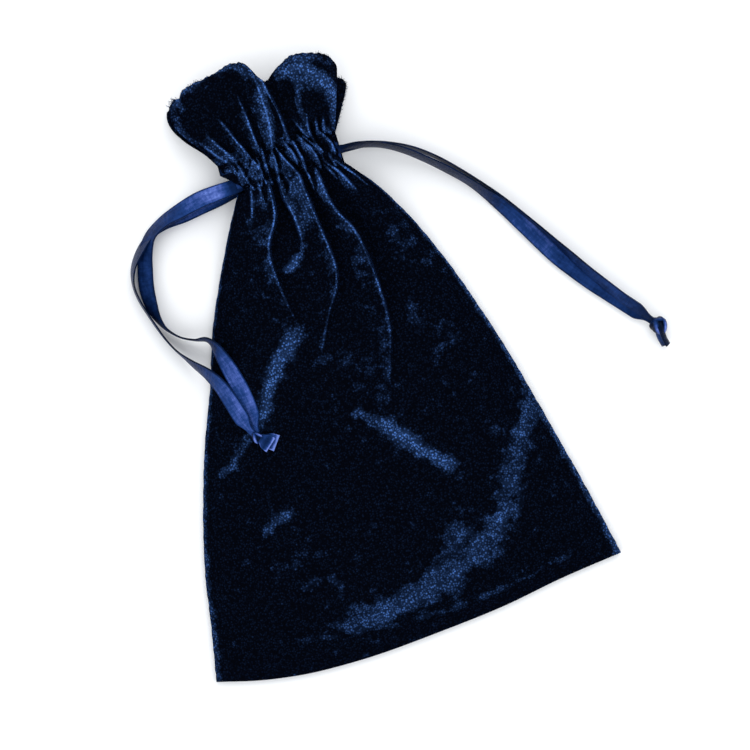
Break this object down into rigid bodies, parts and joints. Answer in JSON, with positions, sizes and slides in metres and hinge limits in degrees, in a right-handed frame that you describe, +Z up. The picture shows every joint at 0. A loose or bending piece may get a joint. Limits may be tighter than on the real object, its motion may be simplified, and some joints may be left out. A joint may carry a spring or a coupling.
{
  "type": "drawstring gift pouch",
  "caption": "Flat velvet pouch lying on its back, with a gathered neck, a ruffled mouth and knotted satin ribbons drawn out at both sides.",
  "frame": {"origin": "on the surface the pouch lies on, at the middle of the pouch's outline without its free ribbons", "axes": "+Y from the bottom seam to the mouth, +X to the right seen from above, +Z up"},
  "size_m": [0.1901, 0.2146, 0.0155],
  "materials": {
    "velvet": "matte pile",
    "satin_ribbon": "satin",
    "thread": "matte"
  },
  "bodies": {
    "pouch": {"front_panel": "velvet", "back_panel": "velvet", "left_seam_allowance": "velvet", "right_seam_allowance": "velvet", "bottom_seam_allowance": "velvet", "left_seam_thread": "thread", "right_seam_thread": "thread", "bottom_seam_thread": "thread", "front_casing": "velvet", "back_casing": "velvet", "front_casing_thread": "thread", "back_casing_thread": "thread"},
    "front_heading": {"front_heading": "velvet"},
    "back_heading": {"back_heading": "velvet"},
    "left_drawstring": {"left_front_run": "satin_ribbon", "left_back_run": "satin_ribbon", "left_front_strand": "satin_ribbon", "left_back_strand": "satin_ribbon", "left_knot": "satin_ribbon", "left_ribbon_tails": "satin_ribbon"},
    "right_drawstring": {"right_front_run": "satin_ribbon", "right_back_run": "satin_ribbon", "right_front_strand": "satin_ribbon", "right_back_strand": "satin_ribbon", "right_knot": "satin_ribbon", "right_ribbon_tails": "satin_ribbon"}
  },
  "joints": [
    {"name": "front_heading_lift", "type": "hinge", "parent": "pouch", "child": "front_heading", "pos_m": [0.00225, 0.07465, 0.01245], "axis": [1, 0, 0], "range_deg": [0, 70]},
    {"name": "back_heading_lift", "type": "hinge", "parent": "pouch", "child": "back_heading", "pos_m": [0.00225, 0.07465, 0.0039], "axis": [1, 0, 0], "range_deg": [0, 21]},
    {"name": "left_drawstring_pull", "type": "slide", "parent": "pouch", "child": "left_drawstring", "axis": [-1, 0, 0], "range_m": [0, 0.012]},
    {"name": "right_drawstring_pull", "type": "slide", "parent": "pouch", "child": "right_drawstring", "axis": [1, 0, 0], "range_m": [0, 0.012]}
  ],
  "couplings": [
    {"joint": "back_heading_lift", "follows": "front_heading_lift", "ratio": 0.3}
  ]
}
